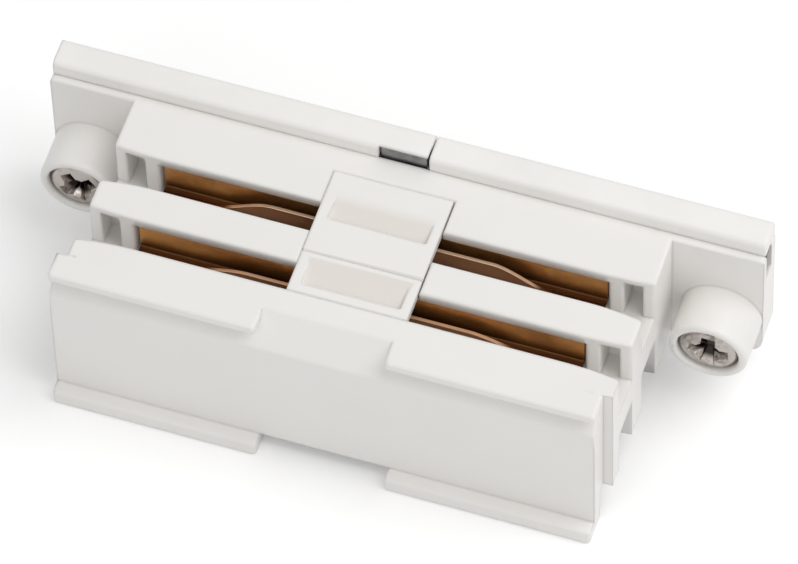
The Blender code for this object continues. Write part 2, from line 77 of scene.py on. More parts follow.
class Graph:
    def __init__(self, tree):
        self.tree = tree

    def add(self, kind, settings=None, inputs=None, output=0):
        node = self.tree.nodes.new(kind)
        for key, value in (settings or {}).items():
            if key == "stops":
                self.setStops(node.color_ramp, value)
            else:
                setattr(node, key, value)
        for key, value in (inputs or {}).items():
            self.feed(node.inputs[key], value)
        return Wire(self, node.outputs[output])

    def feed(self, socket, value):
        if isinstance(value, Wire):
            self.tree.links.new(value.socket, socket)
        else:
            socket.default_value = value

    def setStops(self, ramp, stops):
        while len(ramp.elements) < len(stops):
            ramp.elements.new(1.0)
        for element, (position, level) in zip(ramp.elements, stops):
            element.position = position
            element.color = (level, level, level, 1.0)

    def backgroundRay(self):
        # 1 for rays that show the background: from the camera, or by way of a shiny or clear surface
        shown = 0.0
        for ray in ("Is Camera Ray", "Is Glossy Ray", "Is Transmission Ray"):
            path = self.add("ShaderNodeLightPath", output=ray)
            shown = self.add("ShaderNodeMath", {"operation": "MAXIMUM"}, {0: shown, 1: path})
        return shown

    def smooth(self, value, low, high):
        # rises from 0 at low to 1 at high, which may be the smaller of the two
        return self.add("ShaderNodeMapRange", {"interpolation_type": "SMOOTHSTEP"},
                        {"Value": value, "From Min": low, "From Max": high})


class Finish(Graph):
    def __init__(self, name):
        self.material = bpy.data.materials.new(name)
        self.material.use_nodes = True
        super().__init__(self.material.node_tree)
        self.shader = self.tree.nodes["Principled BSDF"]
        self.place = self.add("ShaderNodeTexCoord", output="Object")

    def set(self, **values):
        for key, value in values.items():
            self.feed(self.shader.inputs[key.replace("_", " ")], value)

    def noise(self, size, stretch=(1, 1, 1), detail=3.0, rough=0.55):
        # size is the width of one blotch in metres; stretch lengthens it along an axis
        scaled = self.add("ShaderNodeMapping", None, {
            "Vector": self.place,
            "Scale": [1 / (size * part) for part in stretch],
        })
        return self.add("ShaderNodeTexNoise", None, {
            "Vector": scaled, "Scale": 1.0, "Detail": detail, "Roughness": rough,
        })

    def ramp(self, value, *stops):
        return self.add("ShaderNodeValToRGB", {"stops": stops}, {"Fac": value})

    def blend(self, factor, first, second):
        return self.add("ShaderNodeMix", {"data_type": "RGBA"},
                        {"Factor": factor, "A": (*first, 1.0) if isinstance(first, tuple) else first,
                         "B": (*second, 1.0) if isinstance(second, tuple) else second}, output="Result")

    def bump(self, height, depth, softEdge=0.0):
        # depth is the height of the relief and softEdge the rounding of edges, both in metres
        inputs = {"Height": height, "Distance": depth, "Strength": 1.0}
        if softEdge:
            inputs["Normal"] = self.add("ShaderNodeBevel", {"samples": 6}, {"Radius": softEdge})
        return self.add("ShaderNodeBump", None, inputs, output="Normal")


class Shape(Graph):
    # a geometry tree with named inputs, evaluated once and kept as a plain mesh
    def __init__(self, name, **inputs):
        super().__init__(bpy.data.node_groups.new(name, "GeometryNodeTree"))
        self.values = inputs
        self.tree.interface.new_socket("Geometry", in_out="OUTPUT", socket_type="NodeSocketGeometry")
        for key in inputs:
            self.tree.interface.new_socket(key, in_out="INPUT", socket_type="NodeSocketFloat")
        self.source = self.tree.nodes.new("NodeGroupInput")

    def value(self, key):
        return Wire(self, self.source.outputs[key])

    def vector(self, x=0.0, y=0.0, z=0.0):
        return self.add("ShaderNodeCombineXYZ", None, {"X": x, "Y": y, "Z": z})

    def made(self, geometry, material):
        real = self.add("GeometryNodeRealizeInstances", None, {"Geometry": geometry})
        painted = self.add("GeometryNodeSetMaterial", None, {"Geometry": real, "Material": material})
        self.tree.links.new(painted.socket, self.tree.nodes.new("NodeGroupOutput").inputs[0])
        item = newObject(self.tree.name, bpy.data.meshes.new(self.tree.name))
        step = item.modifiers.new("shape", "NODES")
        step.node_group = self.tree
        for socket in self.tree.interface.items_tree:
            if socket.in_out == "INPUT":
                step[socket.identifier] = self.values[socket.name]
        return applied(item)


# Finishes: lengths in metres, a share is how strongly a layer shows

plasticLook = {
    "white": (0.868, 0.852, 0.826),
    "cloud": (0.846, 0.829, 0.801),
    # the same white plastic made lighter for the rail covers, as painted light
    "cover": (0.92, 0.905, 0.878),
    "slope": (0.765, 0.722, 0.672),     # painted shade on the clips' thumb ramps, which lean towards the front
    "slopeShare": 0.9,
    "slopeFrom": (0.07, 0.16),          # forward lean of a face at which that painted shade sets in and is full
    "slopeTo": (0.65, 0.45),            # and at which it has gone again and is still full
    "cloudSize": 0.014,                 # width of one cloudy blotch
    "scuffSize": 0.0035,
    "waveSize": 0.004,
    "grain": 0.00016,                   # width of one grain of the mould's surface
    "grainDepth": 0.0000035,
    "scuffRelief": 0.4,                 # against the grain's
    "waveRelief": 4.0,
    "sheen": 0.36,                      # roughness of the clean surface
    "scuffDulls": 0.12,
    "cloudShines": 0.05,
    "reflection": 0.45,
    "softEdge": 0.00045,                # rounding of the edges in the shading
}


def mouldedPlastic(name, tone, rampShade=0.0):
    # rampShade is how strongly the slopes that face the front are darkened, as painted shade
    look = Finish(name)
    cloud = look.ramp(look.noise(plasticLook["cloudSize"], detail=4.0), (0.35, 0.0), (0.75, 1.0))
    colour = look.blend(cloud, tone, plasticLook["cloud"])
    if rampShade:
        # painted shade: faces that lean towards the front are made darker
        facing = look.add("ShaderNodeNewGeometry", output="Normal")
        forward = look.add("ShaderNodeSeparateXYZ", None, {0: facing}, output="Y") * -1.0
        slope = look.smooth(forward, *plasticLook["slopeFrom"])
        slope = slope * look.smooth(forward, *plasticLook["slopeTo"])
        colour = look.blend(slope * rampShade, colour, plasticLook["slope"])
    scuff = look.ramp(look.noise(plasticLook["scuffSize"], stretch=(3, 1, 1), detail=6.0),
                      (0.55, 0.0), (0.8, 1.0))
    grain = look.noise(plasticLook["grain"], detail=2.0)
    wave = look.noise(plasticLook["waveSize"], stretch=(2, 1, 1), detail=1.0)
    relief = grain + scuff * plasticLook["scuffRelief"] + wave * plasticLook["waveRelief"]
    dulled = plasticLook["sheen"] + scuff * plasticLook["scuffDulls"]
    look.set(Base_Color=colour,
             Roughness=dulled - cloud * plasticLook["cloudShines"],
             Normal=look.bump(relief, plasticLook["grainDepth"], plasticLook["softEdge"]),
             Specular_IOR_Level=plasticLook["reflection"])
    return look.material


copperLook = {
    "bright": (0.66, 0.32, 0.10),
    "dark": (0.33, 0.13, 0.036),
    "amber": (0.82, 0.46, 0.13),
    "leaf": (0.185, 0.066, 0.021),      # painted shade on the front leaf, which stands down in the slot
    "deep": (0.10, 0.045, 0.018),       # painted shade down in the slot, also used along the rear leaf's top
    "edge": (1.0, 0.74, 0.52),          # painted highlight along the top edges
    "roll": 0.00035,                    # width of one rolling mark
    "rollStretch": (14, 1, 1),
    "stainSize": 0.0045,
    "glowSize": 0.0028,
    "shares": {"stain": 0.75, "roll": 0.2, "glow": 0.35, "leaf": 0.85, "deep": 0.85,
               "highlightBand": 0.7, "shade": 0.9},
    # heights at which a layer sets in and is full
    "slotShadeBelow": (0.0160, 0.0144),
    "highlightAbove": (0.0149, 0.0155),
    "highlightBelow": (0.0178, 0.0176),
    "highlightBandAbove": (0.01760, 0.01770),    # painted highlight band on the rear leaf, just under the painted shade at its top
    "highlightBandBelow": (0.01788, 0.01780),
    "shadeAbove": (0.01784, 0.01792),
    "facingUp": (0.35, 0.75),           # upward lean of a face at which the painted highlight sets in and is full
    "metal": 0.82,
    "sheen": 0.30,
    "rollDulls": 0.14,
    "stainDulls": 0.08,
    "stainRelief": 1.5,                 # against the rolling marks'
    "reliefDepth": 0.000005,
}


def rolledCopper():
    look = Finish("rolledCopper")
    shares = copperLook["shares"]
    roll = look.noise(copperLook["roll"], stretch=copperLook["rollStretch"], detail=5.0)
    stain = look.ramp(look.noise(copperLook["stainSize"], stretch=(1.6, 1, 1), detail=4.0),
                      (0.40, 0.0), (0.66, 1.0))
    glow = look.ramp(look.noise(copperLook["glowSize"], detail=2.0), (0.55, 0.0), (0.72, 1.0))
    # marks the front leaf, which is given painted shade
    leaf = look.add("ShaderNodeAttribute", {"attribute_name": "frontLeaf"}, output="Fac")
    facing = look.add("ShaderNodeNewGeometry", output="Normal")
    upward = look.add("ShaderNodeSeparateXYZ", None, {0: facing}, output="Z")
    height = look.add("ShaderNodeSeparateXYZ", None, {0: look.place}, output="Z")
    # painted highlight on faces that look upwards, high on the strip
    paintedHighlight = look.smooth(upward, *copperLook["facingUp"]) * look.smooth(height, *copperLook["highlightAbove"])
    # painted highlight band just under the rear leaf's top, and painted shade along the top itself
    highlightBand = look.smooth(height, *copperLook["highlightBandAbove"]) * look.smooth(height, *copperLook["highlightBandBelow"])
    shade = look.smooth(height, *copperLook["shadeAbove"])
    aged = stain * shares["stain"] + roll * shares["roll"]
    tone = look.blend(aged, copperLook["bright"], copperLook["dark"])
    tone = look.blend(glow * shares["glow"], tone, copperLook["amber"])
    # painted shade, darker towards the bottom of the slot
    deep = look.smooth(height, *copperLook["slotShadeBelow"])
    tone = look.blend(leaf * shares["leaf"], tone, copperLook["leaf"])
    tone = look.blend(deep * shares["deep"], tone, copperLook["deep"])
    tone = look.blend(highlightBand * shares["highlightBand"], tone, copperLook["edge"])
    tone = look.blend(shade * shares["shade"], tone, copperLook["deep"])
    tone = look.blend(paintedHighlight * look.smooth(height, *copperLook["highlightBelow"]), tone, copperLook["edge"])
    dulled = copperLook["sheen"] + roll * copperLook["rollDulls"]
    look.set(Base_Color=tone,
             Metallic=copperLook["metal"],
             Roughness=dulled + stain * copperLook["stainDulls"],
             Normal=look.bump(roll + stain * copperLook["stainRelief"], copperLook["reliefDepth"]))
    return look.material


steelLook = {
    "clean": (0.30, 0.30, 0.295),
    "dull": (0.13, 0.13, 0.128),
    "dullShare": 0.8,
    "brush": 0.0002,                    # width of one brush mark
    "brushStretch": (30, 1, 1),
    "mottleSize": 0.0013,
    "sheen": 0.3,
    "brushDulls": 0.2,
    "reliefDepth": 0.000004,
}


def stripSteel():
    look = Finish("stripSteel")
    brush = look.noise(steelLook["brush"], stretch=steelLook["brushStretch"], detail=4.0)
    mottle = look.ramp(look.noise(steelLook["mottleSize"], detail=4.0), (0.4, 0.0), (0.7, 1.0))
    look.set(Base_Color=look.blend(mottle * steelLook["dullShare"], steelLook["clean"], steelLook["dull"]),
             Metallic=1.0,
             Roughness=steelLook["sheen"] + brush * steelLook["brushDulls"],
             Normal=look.bump(brush, steelLook["reliefDepth"]))
    return look.material


nickelLook = {
    "bright": (0.47, 0.43, 0.40),
    "worn": (0.17, 0.135, 0.115),
    "recessShade": (0.035, 0.027, 0.023),    # painted shade at the foot of the cross
    "wornShare": 0.8,
    "wearSize": 0.0011,
    "fineSize": 0.00012,
    "shadeBehind": (0.00495, 0.00545),   # the painted shade's place on the Y axis: where it sets in and is full
    "shadeBefore": (0.0064, 0.0060),     # and where it has gone and is still full
    "sheen": 0.15,
    "wearDulls": 0.12,
    "fineDulls": 0.05,
    "wearRelief": 0.6,
    "reliefDepth": 0.000004,
    "softEdge": 0.00014,
}


def screwNickel():
    look = Finish("screwNickel")
    wear = look.ramp(look.noise(nickelLook["wearSize"], detail=6.0), (0.50, 0.0), (0.68, 1.0))
    fine = look.noise(nickelLook["fineSize"], detail=3.0)
    depth = look.add("ShaderNodeSeparateXYZ", None, {0: look.place}, output="Y")
    # painted shade in the foot of the cross
    foot = look.smooth(depth, *nickelLook["shadeBehind"]) * look.smooth(depth, *nickelLook["shadeBefore"])
    surface = look.blend(wear * nickelLook["wornShare"], nickelLook["bright"], nickelLook["worn"])
    look.set(Base_Color=look.blend(foot, surface, nickelLook["recessShade"]),
             Metallic=1.0,
             Roughness=nickelLook["sheen"] + wear * nickelLook["wearDulls"] + fine * nickelLook["fineDulls"],
             Normal=look.bump(fine + wear * nickelLook["wearRelief"], nickelLook["reliefDepth"],
                              nickelLook["softEdge"]))
    return look.material


housingPlastic = mouldedPlastic("housingPlastic", plasticLook["white"])
coverPlastic = mouldedPlastic("coverPlastic", plasticLook["cover"])
clipPlastic = mouldedPlastic("clipPlastic", plasticLook["white"], rampShade=plasticLook["slopeShare"])
copperSheet = rolledCopper()
stripFinish = stripSteel()
screwFinish = screwNickel()
print("materials made")


# Mesh helpers

weld = 0.001 * mm       # corners closer than this are one
near = 0.01 * mm        # a corner this close to a piece's outer face lies on it


def newObject(name, mesh):
    item = bpy.data.objects.new(name, mesh)
    bpy.context.scene.collection.objects.link(item)
    return item


def mergedCopy(node, name):
    # a welded copy of a CAD node, its flat areas made one face each
    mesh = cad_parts[node].data.copy()
    shape = bmesh.new()
    shape.from_mesh(mesh)
    bmesh.ops.remove_doubles(shape, verts=shape.verts, dist=weld)
    bmesh.ops.dissolve_limit(shape, angle_limit=math.radians(0.5), verts=shape.verts, edges=shape.edges)
    shape.to_mesh(mesh)
    shape.free()
    mesh.materials.clear()
    return newObject(name, mesh)


def applied(item):
    # the object's evaluated mesh takes the place of its modifiers
    tree = bpy.context.evaluated_depsgraph_get()
    mesh = bpy.data.meshes.new_from_object(item.evaluated_get(tree))
    item.modifiers.clear()
    item.data = mesh
    return item


def cutBy(item, tool):
    step = item.modifiers.new("cut", "BOOLEAN")
    step.operation = "DIFFERENCE"
    step.solver = "EXACT"
    step.object = tool
    applied(item)
    bpy.data.objects.remove(tool)
    return item


def boxTool(low, high):
    # a plain box between two corners, in millimetres
    shape = bmesh.new()
    size = [(b - a) * mm for a, b in zip(low, high)]
    middle = [(a + b) / 2 * mm for a, b in zip(low, high)]
    bmesh.ops.create_cube(shape, size=1.0,
                          matrix=Matrix.Translation(middle) @ Matrix.Diagonal((*size, 1.0)))
    mesh = bpy.data.meshes.new("tool")
    shape.to_mesh(mesh)
    shape.free()
    return newObject("tool", mesh)


def turnedMesh(name, profile, steps):
    # profile points (radius, height) in millimetres from the top centre to the bottom centre
    shape = bmesh.new()
    points = [shape.verts.new((radius * mm, 0, height * mm)) for radius, height in profile]
    edges = [shape.edges.new(pair) for pair in zip(points, points[1:])]
    bmesh.ops.spin(shape, geom=points + edges, axis=(0, 0, 1), cent=(0, 0, 0), steps=steps,
                   angle=2 * math.pi, use_merge=True)
    bmesh.ops.remove_doubles(shape, verts=shape.verts, dist=weld)
    bmesh.ops.recalc_face_normals(shape, faces=shape.faces)
    mesh = bpy.data.meshes.new(name)
    shape.to_mesh(mesh)
    shape.free()
    return newObject(name, mesh)


def smoothed(item, angle=30.0):
    item.data.shade_smooth()
    item.data.set_sharp_from_angle(angle=math.radians(angle))
    return item


def evened(item):
    # large flat faces keep their own normal beside rounded edges
    step = item.modifiers.new("evenNormals", "WEIGHTED_NORMAL")
    step.mode = "FACE_AREA_WITH_ANGLE"
    step.weight = 50
    step.keep_sharp = True
    return applied(item)


def cleaned(item, least=0.003 * mm):
    # corners closer than least are merged and faces thinner than it dissolved
    shape = bmesh.new()
    shape.from_mesh(item.data)
    bmesh.ops.remove_doubles(shape, verts=shape.verts, dist=least)
    bmesh.ops.dissolve_degenerate(shape, dist=least, edges=shape.edges)
    shape.to_mesh(item.data)
    shape.free()
    return item


def middleOf(edge):
    # in millimetres
    return (edge.verts[0].co + edge.verts[1].co) / 2 / mm


def softened(item, widest, rule=None, segments=3, angle=32.0, clamp=True):
    # rounds the sharp edges that the rule lets through
    shape = bmesh.new()
    shape.from_mesh(item.data)
    layers = shape.edges.layers.float
    weight = layers.get("bevel_weight_edge") or layers.new("bevel_weight_edge")
    for edge in shape.edges:
        sharp = edge.calc_face_angle(0.0) > math.radians(angle)
        edge[weight] = 1.0 if sharp and (rule is None or rule(edge)) else 0.0
    shape.to_mesh(item.data)
    shape.free()
    bevel = item.modifiers.new("softEdges", "BEVEL")
    bevel.width = widest
    bevel.segments = segments
    bevel.limit_method = "WEIGHT"
    bevel.use_clamp_overlap = clamp
    bevel.miter_outer = "MITER_ARC" if clamp else "MITER_SHARP"
    cleaned(applied(item))
    return evened(smoothed(item))


def dressed(item, material, body, slot, *nodes):
    item.data.materials.clear()
    item.data.materials.append(material)
    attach(item, body)
    if nodes:
        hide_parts(*nodes)
    print(item.name, len(item.data.polygons), "faces")
    return item


# Housing: the CAD moulding with deeper end pockets and its outer edges rounded, sizes in mm

housingSizes = {
    "softEdge": 0.28,                   # rounding of the outer edges
    "sharpFrom": 50.0,                  # degrees between two faces, from which their edge is rounded
    "pocketTop": 19.0,                  # height of the end pockets' upper edge
    "pocketFloor": 14.0,
    "pockets": {                        # front face of the wall and depth of its pockets
        "rib": (-3.44, 2.5),
        "block": (3.91, 2.8),
    },
    "pocketEnds": ((-26.25, -24.4), (23.8, 25.65)),
    "cutterLead": 0.4,                  # how far in front of the wall the cutter starts
    "wallTop": 19.6,                    # lowest height of the rounded wall tops
    "wallTopDepth": (-4.0, 9.9),        # from the rib's front to just short of the earth strip's slot
    "upright": 0.9,                     # least upward share of an edge that counts as upright
    "wallEndReach": (25.5, 29.0),       # distance of the comb's ends from the middle
    "wallEndFront": -9.0,
    "wallEndFoot": 12.0,
    "lowerLip": (-11.0, 2.2),           # in front of this and below this
    "upperLip": (-9.3, 15.0),           # in front of this and above this
    "mouthDepth": (3.5, 5.0),           # the boss mouths, front to back
    "mouthReach": 28.7,                 # and their least distance from the middle
}


def within(value, span):
    return span[0] < value < span[1]


def outerEdge(edge):
    # wall tops, wall ends, lips and boss mouths
    sizes = housingSizes
    place = middleOf(edge)
    x, y, z = abs(place.x), place.y, place.z
    upright = abs((edge.verts[1].co - edge.verts[0].co).normalized().z) > sizes["upright"]
    wallTop = z > sizes["wallTop"] and within(y, sizes["wallTopDepth"])
    comb = within(x, sizes["wallEndReach"]) and y > sizes["wallEndFront"] and z > sizes["wallEndFoot"]
    lowerLip = y < sizes["lowerLip"][0] and z < sizes["lowerLip"][1]
    upperLip = y < sizes["upperLip"][0] and z > sizes["upperLip"][1]
    mouth = within(y, sizes["mouthDepth"]) and x > sizes["mouthReach"]
    return edge.is_convex and (wallTop or (comb and upright) or lowerLip or upperLip or mouth)


def mouldedHousing():
    sizes = housingSizes
    item = mergedCopy("housing", "mouldedHousing")
    for face, depth in sizes["pockets"].values():
        for left, right in sizes["pocketEnds"]:
            cutBy(item, boxTool((left, face - sizes["cutterLead"], sizes["pocketFloor"]),
                                (right, face + depth, sizes["pocketTop"])))
    # clamped, the rounding would shrink everywhere to what the closest pair of corners allows
    softened(item, sizes["softEdge"] * mm, outerEdge, angle=sizes["sharpFrom"], clamp=False)
    return dressed(item, housingPlastic, "connector", "white_plastic", "housing")


mouldedHousing()


# Rail covers: let down onto the ledge and brought forward over it, their upper edges rounded, in mm

railSizes = {
    "softEdge": 0.22,
    "rest": 19.765,                     # height of the cover's underside
    "under": 20.0,                      # what lies lower than this belongs to the underside
    "forward": 0.12,                    # how far the front face comes forward
}


def railCover(node, name):
    item = mergedCopy(node, name)
    front = min(vertex.co.y for vertex in item.data.vertices)
    for vertex in item.data.vertices:
        if vertex.co.z < railSizes["under"] * mm:
            vertex.co.z = railSizes["rest"] * mm
        if vertex.co.y < front + near:
            vertex.co.y -= railSizes["forward"] * mm
    softened(item, railSizes["softEdge"] * mm, lambda edge: middleOf(edge).z > railSizes["under"])
    return dressed(item, coverPlastic, "connector", "cover_plastic", node)


railCover("rail_left", "railCoverLeft")
railCover("rail_right", "railCoverRight")


# Bridge clips: their plates fill the seats but for a thin line, sizes in mm

bridgeSizes = {
    "softEdge": 0.13,
    "plateLow": 18.7,                   # what lies higher than this belongs to the clip's plate
    "spread": 0.13,                     # how far the pair's left, front and back faces move out
    "jointSpread": 0.06,                # and the two faces at the joint between them
}


def bridgeClip(node, name, front, back):
    # front and back are how far the plate's faces there move out
    item = mergedCopy(node, name)
    xs = [vertex.co.x for vertex in item.data.vertices]
    ys = [vertex.co.y for vertex in item.data.vertices if vertex.co.z > bridgeSizes["plateLow"] * mm]
    left, low, high = min(xs), min(ys), max(ys)
    for vertex in item.data.vertices:
        if vertex.co.x < left + near:
            vertex.co.x -= bridgeSizes["spread"] * mm
        if vertex.co.y < low + near:
            vertex.co.y -= front * mm
        if vertex.co.y > high - near:
            vertex.co.y += back * mm
    softened(item, bridgeSizes["softEdge"] * mm)
    return dressed(item, clipPlastic, "connector", "white_plastic", node)


bridgeClip("bridge_front", "bridgeClipFront", bridgeSizes["spread"], bridgeSizes["jointSpread"])
bridgeClip("bridge_rear", "bridgeClipRear", bridgeSizes["jointSpread"], bridgeSizes["spread"])


# Contact strips: a folded section swept along the seat, its front leaf falling to the ends, in mm

contactSizes = {
    "sheet": 0.35,                      # thickness of the sheet
    "depth": 1.5,                       # front to back over both leaves
    "foldRadius": 0.5,
    "floor": 14.2,                      # height of the fold's underside
    "rearTop": 18.15,
    "leafEdge": 0.05,                   # what is broken off the front leaf's two top corners
    "halfLength": 22.3,
    "middle": -0.3,                     # the strips' middle along the track
    "fallStart": 11.0,                  # where the front leaf starts to fall, from the middle
    "fallEnd": 17.5,
    "stubHeight": 0.45,                 # what is left of the front leaf past its end
    "innerSteps": 4,                    # pieces that each quarter of the fold is made of
    "outerSteps": 6,
    "slices": 140,
    "strips": {                         # name, back face of the strip and top of its front leaf
        "front_contact": ("contactStripFront", -2.44, 15.95),
        "rear_contact": ("contactStripRear", 4.91, 17.05),
    },
}


def arcPoints(centre, radius, start, end, steps):
    # start and end in degrees
    points = []
    for step in range(steps + 1):
        angle = math.radians(start + (end - start) * step / steps)
        points.append((centre[0] + radius * math.cos(angle), centre[1] + radius * math.sin(angle)))
    return points


def contactProfile(back, leafTop):
    sheet, fold, floor = (contactSizes[key] for key in ("sheet", "foldRadius", "floor"))
    broken, innerSteps, outerSteps = (contactSizes[key] for key in ("leafEdge", "innerSteps", "outerSteps"))
    front = back - contactSizes["depth"]
    inner = fold - sheet
    rearCentre, frontCentre = (back - fold, floor + fold), (front + fold, floor + fold)
    points = [(back, contactSizes["rearTop"]), (back - sheet, contactSizes["rearTop"])]
    points += arcPoints(rearCentre, inner, 0, -90, innerSteps)
    points += arcPoints(frontCentre, inner, -90, -180, innerSteps)
    points += [(front + sheet, leafTop - broken), (front + sheet - broken, leafTop)]
    points += [(front + broken, leafTop), (front, leafTop - broken)]
    points += arcPoints(frontCentre, fold, 180, 270, outerSteps)
    points += arcPoints(rearCentre, fold, 270, 360, outerSteps)
    curve = bpy.data.curves.new("contactProfile", "CURVE")
    curve.dimensions = "2D"
    spline = curve.splines.new("POLY")
    spline.points.add(len(points) - 1)
    for point, (y, z) in zip(spline.points, points):
        point.co = (-y * mm, -z * mm, 0, 1)
    spline.use_cyclic_u = True
    return newObject("contactProfile", curve)


def contactStrip(node, name, back, leafTop):
    profile = contactProfile(back, leafTop)
    sizes = {key: contactSizes[key] * mm for key in
             ("floor", "halfLength", "middle", "fallStart", "fallEnd", "stubHeight")}
    shape = Shape(name, leafTop=leafTop * mm, parting=(back - contactSizes["depth"] / 2) * mm, **sizes)
    reach = shape.value("halfLength")
    line = shape.add("GeometryNodeCurvePrimitiveLine", None, {
        "Start": shape.vector(x=shape.value("middle") - reach),
        "End": shape.vector(x=shape.value("middle") + reach),
    })
    sliced = shape.add("GeometryNodeResampleCurve", None, {"Curve": line, "Count": contactSizes["slices"]})
    outline = shape.add("GeometryNodeObjectInfo", None, {"Object": profile}, output="Geometry")
    sheet = shape.add("GeometryNodeCurveToMesh", None,
                      {"Curve": sliced, "Profile Curve": outline, "Fill Caps": True})
    here = shape.add("GeometryNodeInputPosition")
    x, y, z = (shape.add("ShaderNodeSeparateXYZ", None, {0: here}, output=axis) for axis in "XYZ")
    stub = shape.value("floor") + shape.value("stubHeight")
    fall = shape.smooth(abs(x - shape.value("middle")), shape.value("fallStart"), shape.value("fallEnd"))
    share = shape.smooth(z, stub, shape.value("leafTop"))
    drop = (y < shape.value("parting")) * fall * share * (shape.value("leafTop") - stub)
    bent = shape.add("GeometryNodeSetPosition", None,
                     {"Geometry": sheet, "Offset": shape.vector(z=drop * -1.0)})
    marked = shape.add("GeometryNodeStoreNamedAttribute", {"data_type": "FLOAT", "domain": "POINT"},
                       {"Geometry": bent, "Name": "frontLeaf", "Value": y < shape.value("parting")})
    item = smoothed(shape.made(marked, copperSheet))
    bpy.data.objects.remove(profile)
    return dressed(item, copperSheet, "connector", "copper_alloy", node)


for node, (name, back, leafTop) in contactSizes["strips"].items():
    contactStrip(node, name, back, leafTop)


# Earth strip: the CAD strip with its edges rounded

earthSizes = {
    "softEdge": 0.14,                   # mm
}

earth = softened(mergedCopy("earth_strip", "earthStripSteel"), earthSizes["softEdge"] * mm)
dressed(earth, stripFinish, "connector", "strip_steel", "earth_strip")


# Pan screws: a domed head with a bowl and a tapered cross in it, and a threaded shank, sizes in mm
# Heights are above the head's underside, with the screw standing on its tip

screwSizes = {
    "headRadius": 3.0,
    "headTop": 2.22,
    "headSide": 1.35,                   # height of the head's upright side
    "headSteps": 96,                    # faces round the head
    "domeRise": 0.30,                   # how far the middle stands above the dome's rim
    "domeShare": 0.8,                   # of the head's radius, and the rounded corner has the rest
    "cornerShare": 0.2,
    "domeSteps": 8,
    "arcStep": 15,                      # degrees from point to point of a rounded corner
    "headFoot": 0.08,                   # chamfer at the head's underside
    "coreRadius": 1.58,
    "tip": -6.3,
    "tipChamfer": 0.5,
    "crossDepth": 1.35,
    "crossArm": 2.3,                    # from the axis to an arm's outer end at the head's face
    "crossFoot": 0.75,                  # the same at the bottom of the cross
    "armWidth": 1.5,
    "footWidth": 0.6,
    "armCorner": 0.78,                  # sideways from the axis to the corner between two arms
    "footCorner": 0.34,
    "crossRise": 0.5,                   # how far the cross's cutter stands above the head
    "bowlRadius": 1.4,
    "bowlDepth": 0.95,
    "bowlSteps": 48,
    "bowlRise": 0.6,                    # how far the bowl's cutter stands above the head
    "bowlFlare": 1.35,                  # its top radius against the bowl's
    "threadPitch": 0.7,
    "threadTurns": 7.0,
    "threadHeight": 0.24,
    "threadStart": 0.6,                 # above the tip
    "threadSteps": 40,                  # in each turn
    "threadSides": 6,
    "headSharp": 24.0,                  # degrees from which an edge is shaded sharp
    "threadSharp": 60.0,
    "screws": {                         # name, body, place along the track, turn of the cross in degrees
        "screw_left": ("panScrewLeft", "left_screw", -31.95, -38.0),
        "screw_right": ("panScrewRight", "right_screw", 31.95, 1.0),
    },
    "axisHeight": 9.9,                  # above what the connector stands on
    "headUnder": 6.71,                  # the head's underside on the Y axis
}


def quarterArc(first, last):
    step = screwSizes["arcStep"]
    return [math.radians(step * count) for count in range(first, last + 1)]


def screwBlank(name):
    top, side, rise = (screwSizes[key] for key in ("headTop", "headSide", "domeRise"))
    radius, core, tip = (screwSizes[key] for key in ("headRadius", "coreRadius", "tip"))
    foot, chamfer, steps = (screwSizes[key] for key in ("headFoot", "tipChamfer", "domeSteps"))
    dome, corner = screwSizes["domeShare"] * radius, screwSizes["cornerShare"] * radius
    shoulder = top - rise
    profile = [(0, top)]
    for step in range(1, steps + 1):
        profile.append((dome * step / steps, top - rise * (step / steps) ** 2))
    for angle in quarterArc(1, 6):
        profile.append((dome + corner * math.sin(angle), side + (shoulder - side) * math.cos(angle)))
    profile += [(radius, foot), (radius - foot, 0), (core, 0)]
    profile += [(core, tip + chamfer), (core - chamfer, tip), (0, tip)]
    return turnedMesh(name, profile, screwSizes["headSteps"])


def crossOutline(arm, width, inner):
    # plus-shaped outline, anticlockwise, its inner corners at the given distance
    half = width / 2
    quarter = [(arm, -half), (arm, half), (inner, inner)]
    points = []
    for turn in range(4):
        spin = Matrix.Rotation(turn * math.pi / 2, 2)
        points += [spin @ Vector(point) for point in quarter]
    return points


def crossTool():
    # the cross tapers from the head's face to its foot
    top, depth, rise = (screwSizes[key] for key in ("headTop", "crossDepth", "crossRise"))
    upper = crossOutline(screwSizes["crossArm"], screwSizes["armWidth"], screwSizes["armCorner"])
    lower = crossOutline(screwSizes["crossFoot"], screwSizes["footWidth"], screwSizes["footCorner"])
    shape = bmesh.new()
    scale = (depth + rise) / depth
    high = [shape.verts.new(((low + (up - low) * scale) * mm).to_3d() + Vector((0, 0, (top + rise) * mm)))
            for up, low in zip(upper, lower)]
    deep = [shape.verts.new((point * mm).to_3d() + Vector((0, 0, (top - depth) * mm))) for point in lower]
    shape.faces.new(high)
    shape.faces.new(deep[::-1])
    count = len(high)
    for index in range(count):
        after = (index + 1) % count
        shape.faces.new((high[index], deep[index], deep[after], high[after]))
    bmesh.ops.recalc_face_normals(shape, faces=shape.faces)
    mesh = bpy.data.meshes.new("tool")
    shape.to_mesh(mesh)
    shape.free()
    return newObject("tool", mesh)


def bowlTool():
    top, radius, depth = (screwSizes[key] for key in ("headTop", "bowlRadius", "bowlDepth"))
    rim = top + screwSizes["bowlRise"]
    profile = [(0, rim), (radius * screwSizes["bowlFlare"], rim)]
    for angle in quarterArc(0, 5):
        profile.append((radius * math.cos(angle), top - depth * math.sin(angle)))
    profile.append((0, top - depth))
    return turnedMesh("tool", profile, screwSizes["bowlSteps"])


